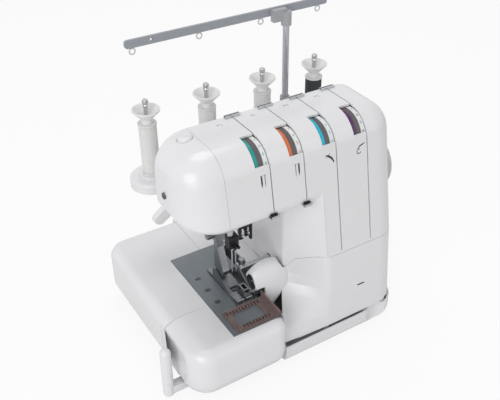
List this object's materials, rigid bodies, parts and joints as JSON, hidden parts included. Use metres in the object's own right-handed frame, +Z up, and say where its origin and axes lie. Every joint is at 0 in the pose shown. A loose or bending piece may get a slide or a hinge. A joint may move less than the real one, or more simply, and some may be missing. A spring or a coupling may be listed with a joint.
{
  "type": "serger overlock machine",
  "caption": "Home overlock sewing machine: white housing, coloured tension dials in the head, knife, loopers and presser foot at the bed, spools under a telescopic thread stand.",
  "frame": {"origin": "middle of the footprint's box, on the table", "axes": "+Z up, +X to the operator's right, +Y away from the operator"},
  "size_m": [0.322, 0.239, 0.347],
  "materials": {
    "white_plastic": "smooth moulded gloss",
    "pale_grey_plastic": "smooth moulded gloss",
    "cast_alloy": "as cast, machined bores",
    "plate_steel": "dark satin, ground along its length",
    "bright_steel": "bright plated",
    "chrome_rod": "polished",
    "black_enamel": "satin black",
    "brown_clear": "clear tinted moulding",
    "teal_dial": "moulded, fine knurl on the rim",
    "orange_dial": "moulded, fine knurl on the rim",
    "blue_dial": "moulded, fine knurl on the rim",
    "purple_dial": "moulded, fine knurl on the rim",
    "bronze_bush": "sintered",
    "motor_paint": "satin",
    "pulley_alloy": "turned",
    "belt_rubber": "matt",
    "foot_rubber": "matt",
    "black_plastic": "fine texture",
    "spool_plastic": "moulded",
    "cap_plastic": "smooth moulded gloss",
    "white_thread": "wound thread",
    "grey_thread": "wound thread",
    "grey_plastic": "fine texture",
    "grey_paint": "satin"
  },
  "bodies": {
    "machine_body": {"base_tray": "white_plastic", "rubber_feet": "foot_rubber", "main_frame": "cast_alloy", "front_cover": "white_plastic", "face_cover": "white_plastic", "throat_cover": "white_plastic", "rear_cover": "white_plastic", "front_bed_cover": "white_plastic", "cloth_plate_hinge_pin": "bright_steel", "bed_cover": "white_plastic", "needle_plate": "plate_steel", "screws": "bright_steel", "lower_knife": "bright_steel", "presser_spring": "bright_steel", "gauge_pin": "bright_steel", "tension_discs": "bright_steel", "shaft_bushes": "bronze_bush", "motor": "motor_paint", "drive_belt": "belt_rubber", "power_inlet": "black_plastic", "spool_tray": "white_plastic", "spool_pins": "chrome_rod", "thread_spools": "spool_plastic", "spool_caps": "cap_plastic", "white_thread_windings": "white_thread", "grey_thread_winding": "grey_thread", "antenna_tube": "grey_plastic", "thread_guides": "bright_steel"},
    "cloth_plate": {"cloth_plate": "white_plastic"},
    "looper_cover_pin": {"looper_cover_pin": "bright_steel"},
    "looper_cover": {"looper_cover": "white_plastic", "knife_guard": "white_plastic"},
    "seam_gauge": {"seam_gauge": "brown_clear"},
    "presser_lifter": {"presser_lifter": "white_plastic"},
    "presser_bar": {"presser_bar": "bright_steel", "presser_foot_holder": "bright_steel", "presser_foot": "bright_steel"},
    "pressure_dial": {"pressure_dial": "pale_grey_plastic"},
    "needle_bar": {"needle_bar": "bright_steel", "needle_clamp": "black_enamel", "needles": "bright_steel"},
    "upper_knife": {"upper_knife": "bright_steel", "upper_knife_holder": "bright_steel", "knife_screw": "bright_steel"},
    "upper_looper": {"upper_looper": "bright_steel"},
    "lower_looper": {"lower_looper": "bright_steel"},
    "feed_dog": {"feed_dog": "bright_steel"},
    "tension_dial_1": {"tension_dial_1": "teal_dial"},
    "tension_dial_2": {"tension_dial_2": "orange_dial"},
    "tension_dial_3": {"tension_dial_3": "blue_dial"},
    "tension_dial_4": {"tension_dial_4": "purple_dial"},
    "handwheel": {"handwheel": "pale_grey_plastic", "main_shaft": "bright_steel"},
    "motor_pulley": {"motor_pulley": "pulley_alloy"},
    "stitch_length_dial": {"stitch_length_dial": "pale_grey_plastic"},
    "power_switch": {"power_switch": "black_plastic"},
    "antenna_pole": {"antenna_pole": "chrome_rod"},
    "antenna_bar": {"antenna_bracket": "grey_plastic", "antenna_bar": "grey_paint", "antenna_loops": "bright_steel"}
  },
  "joints": [
    {"name": "cloth_plate_swing", "type": "hinge", "parent": "machine_body", "child": "cloth_plate", "pos_m": [-0.155, -0.0795, 0.05], "axis": [0, 0, 1], "range_deg": [0, 100]},
    {"name": "looper_cover_shift", "type": "slide", "parent": "machine_body", "child": "looper_cover_pin", "axis": [1, 0, 0], "range_m": [0, 0.005]},
    {"name": "looper_cover_swing", "type": "hinge", "parent": "looper_cover_pin", "child": "looper_cover", "pos_m": [0.078, -0.10392, 0.031], "axis": [1, 0, 0], "range_deg": [0, 75]},
    {"name": "seam_gauge_swing", "type": "hinge", "parent": "machine_body", "child": "seam_gauge", "pos_m": [-0.0256, -0.0875, 0.0802], "axis": [0, 1, 0], "range_deg": [0, 95]},
    {"name": "presser_lift", "type": "hinge", "parent": "machine_body", "child": "presser_lifter", "pos_m": [-0.041, 0.0025, 0.2144], "axis": [0, 1, 0], "range_deg": [0, 60]},
    {"name": "presser_rise", "type": "slide", "parent": "machine_body", "child": "presser_bar", "axis": [0, 0, 1], "range_m": [0, 0.006], "deforming": ["presser_spring"]},
    {"name": "pressure_turn", "type": "hinge", "parent": "machine_body", "child": "pressure_dial", "pos_m": [-0.084, -0.0135, 0.26], "axis": [0, 0, 1], "range_deg": [-180, 180]},
    {"name": "needle_stroke", "type": "slide", "parent": "machine_body", "child": "needle_bar", "axis": [0, 0, 1], "range_m": [-0.036, 0]},
    {"name": "upper_knife_swing", "type": "hinge", "parent": "machine_body", "child": "upper_knife", "pos_m": [-0.012, -0.0275, 0.092], "axis": [1, 0, 0], "range_deg": [0, 9]},
    {"name": "upper_looper_swing", "type": "hinge", "parent": "machine_body", "child": "upper_looper", "pos_m": [0.012, -0.0475, 0.052], "axis": [0, 1, 0], "range_deg": [0, 8.5]},
    {"name": "lower_looper_swing", "type": "hinge", "parent": "machine_body", "child": "lower_looper", "pos_m": [-0.004, -0.0385, 0.042], "axis": [0, 1, 0], "range_deg": [-10.5, 0]},
    {"name": "feed_travel", "type": "slide", "parent": "machine_body", "child": "feed_dog", "axis": [0, 1, 0], "range_m": [-0.002, 0.002]},
    {"name": "handwheel_spin", "type": "hinge", "parent": "machine_body", "child": "handwheel", "pos_m": [0.128, -0.0235, 0.178], "axis": [1, 0, 0], "continuous": true},
    {"name": "motor_spin", "type": "hinge", "parent": "machine_body", "child": "motor_pulley", "pos_m": [0.108, 0.0575, 0.078], "axis": [1, 0, 0], "continuous": true},
    {"name": "stitch_length_turn", "type": "hinge", "parent": "machine_body", "child": "stitch_length_dial", "pos_m": [0.146, 0.0325, 0.12], "axis": [1, 0, 0], "range_deg": [-120, 120]},
    {"name": "power_rock", "type": "hinge", "parent": "machine_body", "child": "power_switch", "pos_m": [0.1365, 0.0525, 0.052], "axis": [0, 1, 0], "range_deg": [0, 14]},
    {"name": "antenna_extend", "type": "slide", "parent": "machine_body", "child": "antenna_pole", "axis": [0, 0, 1], "range_m": [0, 0.15]},
    {"name": "antenna_turn", "type": "hinge", "parent": "antenna_pole", "child": "antenna_bar", "pos_m": [0.0955, 0.0745, 0.34], "axis": [0, 0, 1], "range_deg": [-40, 40]},
    {"name": "tension_turn_1", "type": "hinge", "parent": "machine_body", "child": "tension_dial_1", "pos_m": [-0.03, -0.0475, 0.2468], "axis": [1, 0, 0], "range_deg": [-150, 150]},
    {"name": "tension_turn_2", "type": "hinge", "parent": "machine_body", "child": "tension_dial_2", "pos_m": [0.0109, -0.0475, 0.2468], "axis": [1, 0, 0], "range_deg": [-150, 150]},
    {"name": "tension_turn_3", "type": "hinge", "parent": "machine_body", "child": "tension_dial_3", "pos_m": [0.0518, -0.0475, 0.2468], "axis": [1, 0, 0], "range_deg": [-150, 150]},
    {"name": "tension_turn_4", "type": "hinge", "parent": "machine_body", "child": "tension_dial_4", "pos_m": [0.0927, -0.0475, 0.2468], "axis": [1, 0, 0], "range_deg": [-150, 150]}
  ],
  "couplings": [
    {"joint": "presser_lift", "follows": "presser_rise", "rad_per_m": 174.5},
    {"joint": "upper_knife_swing", "follows": "needle_stroke", "rad_per_m": -4.15},
    {"joint": "upper_looper_swing", "follows": "needle_stroke", "rad_per_m": -3.85},
    {"joint": "lower_looper_swing", "follows": "needle_stroke", "rad_per_m": 4.8},
    {"joint": "feed_travel", "follows": "needle_stroke", "ratio": -0.05},
    {"joint": "motor_spin", "follows": "handwheel_spin", "ratio": 1.6667}
  ]
}
